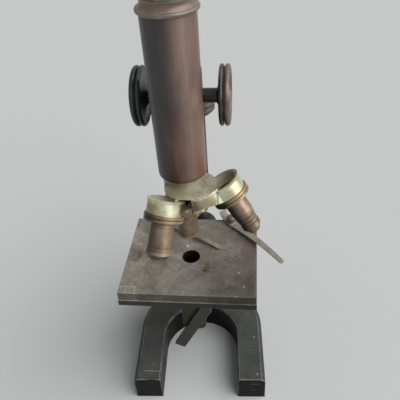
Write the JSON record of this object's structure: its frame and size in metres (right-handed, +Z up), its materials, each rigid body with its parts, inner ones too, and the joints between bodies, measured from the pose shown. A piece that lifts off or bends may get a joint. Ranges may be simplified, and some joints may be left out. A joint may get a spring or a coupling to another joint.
{
  "type": "compound microscope",
  "caption": "Compound microscope on a horseshoe foot with inclining limb, square stage and clips, rack-focused brass tube, micrometer fine focus and revolving nosepiece.",
  "frame": {"origin": "where the optical axis meets the table the foot stands on", "axes": "+Z up along the optical axis, +X to the user's right, -Y towards the user"},
  "size_m": [0.1213, 0.127, 0.3455],
  "materials": {
    "black_iron": "black lacquer, worn to metal on the edges",
    "dark_brass": "brown oxidised lacquer",
    "collar_brass": "dull aged brass",
    "nose_brass": "aged yellow brass, handled bright",
    "objective_brass": "tan lacquered brass",
    "bronze": "mottled brown bronze",
    "aged_steel": "grey aged metal",
    "steel": "dull steel",
    "glass": "polished"
  },
  "bodies": {
    "stand": {"foot": "black_iron", "pillar": "black_iron", "pillar_screw": "steel"},
    "limb": {"limb_bracket": "black_iron", "inclination_axle": "steel", "inclination_nuts": "steel", "column": "steel", "stage_base": "bronze", "stage_top": "bronze", "stage_screws": "steel", "bracket_screws": "steel", "substage_sleeve": "bronze", "diaphragm": "bronze", "mirror_hanger": "bronze", "hanger_screws": "steel", "mirror_bar_screw": "steel"},
    "mirror": {"mirror_bar": "aged_steel"},
    "clip_left": {"clip_post_left": "aged_steel", "clip_strip_left": "aged_steel"},
    "clip_right": {"clip_post_right": "aged_steel", "clip_strip_right": "aged_steel"},
    "micrometer": {"micrometer_head": "collar_brass", "micrometer_screw": "steel"},
    "focus_arm": {"arm": "black_iron", "pinion_cover": "black_iron", "cover_screws": "steel"},
    "pinion": {"pinion_shaft": "steel", "knob_left": "dark_brass", "knob_right": "dark_brass", "knob_screws": "steel"},
    "tube": {"body_tube": "dark_brass", "slide_bar": "dark_brass", "rack": "steel", "rack_screws": "steel", "tube_collar": "collar_brass", "nose_plate": "nose_brass", "pivot_screw": "nose_brass"},
    "revolver": {"nose_shell": "nose_brass", "objective_low_barrel": "objective_brass", "objective_low_cell": "objective_brass", "objective_low_lens": "glass", "objective_medium_barrel": "objective_brass", "objective_medium_cell": "objective_brass", "objective_medium_lens": "glass", "objective_high_barrel": "objective_brass", "objective_high_cell": "objective_brass", "objective_high_lens": "glass"},
    "draw": {"draw_tube": "collar_brass"},
    "eyepiece": {"eyepiece_tube": "collar_brass", "eyepiece_cap": "collar_brass", "eye_lens": "glass", "field_lens": "glass", "field_stop": "collar_brass"}
  },
  "joints": [
    {"name": "inclination", "type": "hinge", "parent": "stand", "child": "limb", "pos_m": [0, 0.046, 0.074], "axis": [-1, 0, 0], "range_deg": [0, 90]},
    {"name": "mirror_swing", "type": "hinge", "parent": "limb", "child": "mirror", "pos_m": [0, -0.0159, 0.0516], "axis": [0, 1, 0], "range_deg": [-86.8, 33.2]},
    {"name": "clip_left_turn", "type": "hinge", "parent": "limb", "child": "clip_left", "pos_m": [-0.029, 0.0394, 0.115], "axis": [0, 0, 1], "range_deg": [-60, 0]},
    {"name": "clip_right_turn", "type": "hinge", "parent": "limb", "child": "clip_right", "pos_m": [0.029, 0.0394, 0.115], "axis": [0, 0, 1], "range_deg": [-40, 20]},
    {"name": "fine_turn", "type": "hinge", "parent": "limb", "child": "micrometer", "pos_m": [0, 0.056, 0.22], "axis": [0, 0, 1], "range_deg": [-1081, 1081]},
    {"name": "fine_slide", "type": "slide", "parent": "limb", "child": "focus_arm", "axis": [0, 0, 1], "range_m": [-0.0015, 0.0015]},
    {"name": "coarse_turn", "type": "hinge", "parent": "focus_arm", "child": "pinion", "pos_m": [0, 0.026, 0.2375], "axis": [1, 0, 0], "range_deg": [-334.4, 238.9]},
    {"name": "coarse_slide", "type": "slide", "parent": "focus_arm", "child": "tube", "axis": [0, 0, 1], "range_m": [-0.02, 0.028]},
    {"name": "nosepiece_turn", "type": "hinge", "parent": "tube", "child": "revolver", "pos_m": [0, 0, 0.2334], "axis": [0.1954, -0.3384, -0.9205], "continuous": true},
    {"name": "draw_slide", "type": "slide", "parent": "tube", "child": "draw", "axis": [0, 0, 1], "range_m": [-0.022, 0.04]},
    {"name": "eyepiece_slide", "type": "slide", "parent": "draw", "child": "eyepiece", "axis": [0, 0, 1], "range_m": [0, 0.03]}
  ],
  "couplings": [
    {"joint": "fine_turn", "follows": "fine_slide", "rad_per_m": 12566},
    {"joint": "coarse_turn", "follows": "coarse_slide", "rad_per_m": -208.33}
  ]
}
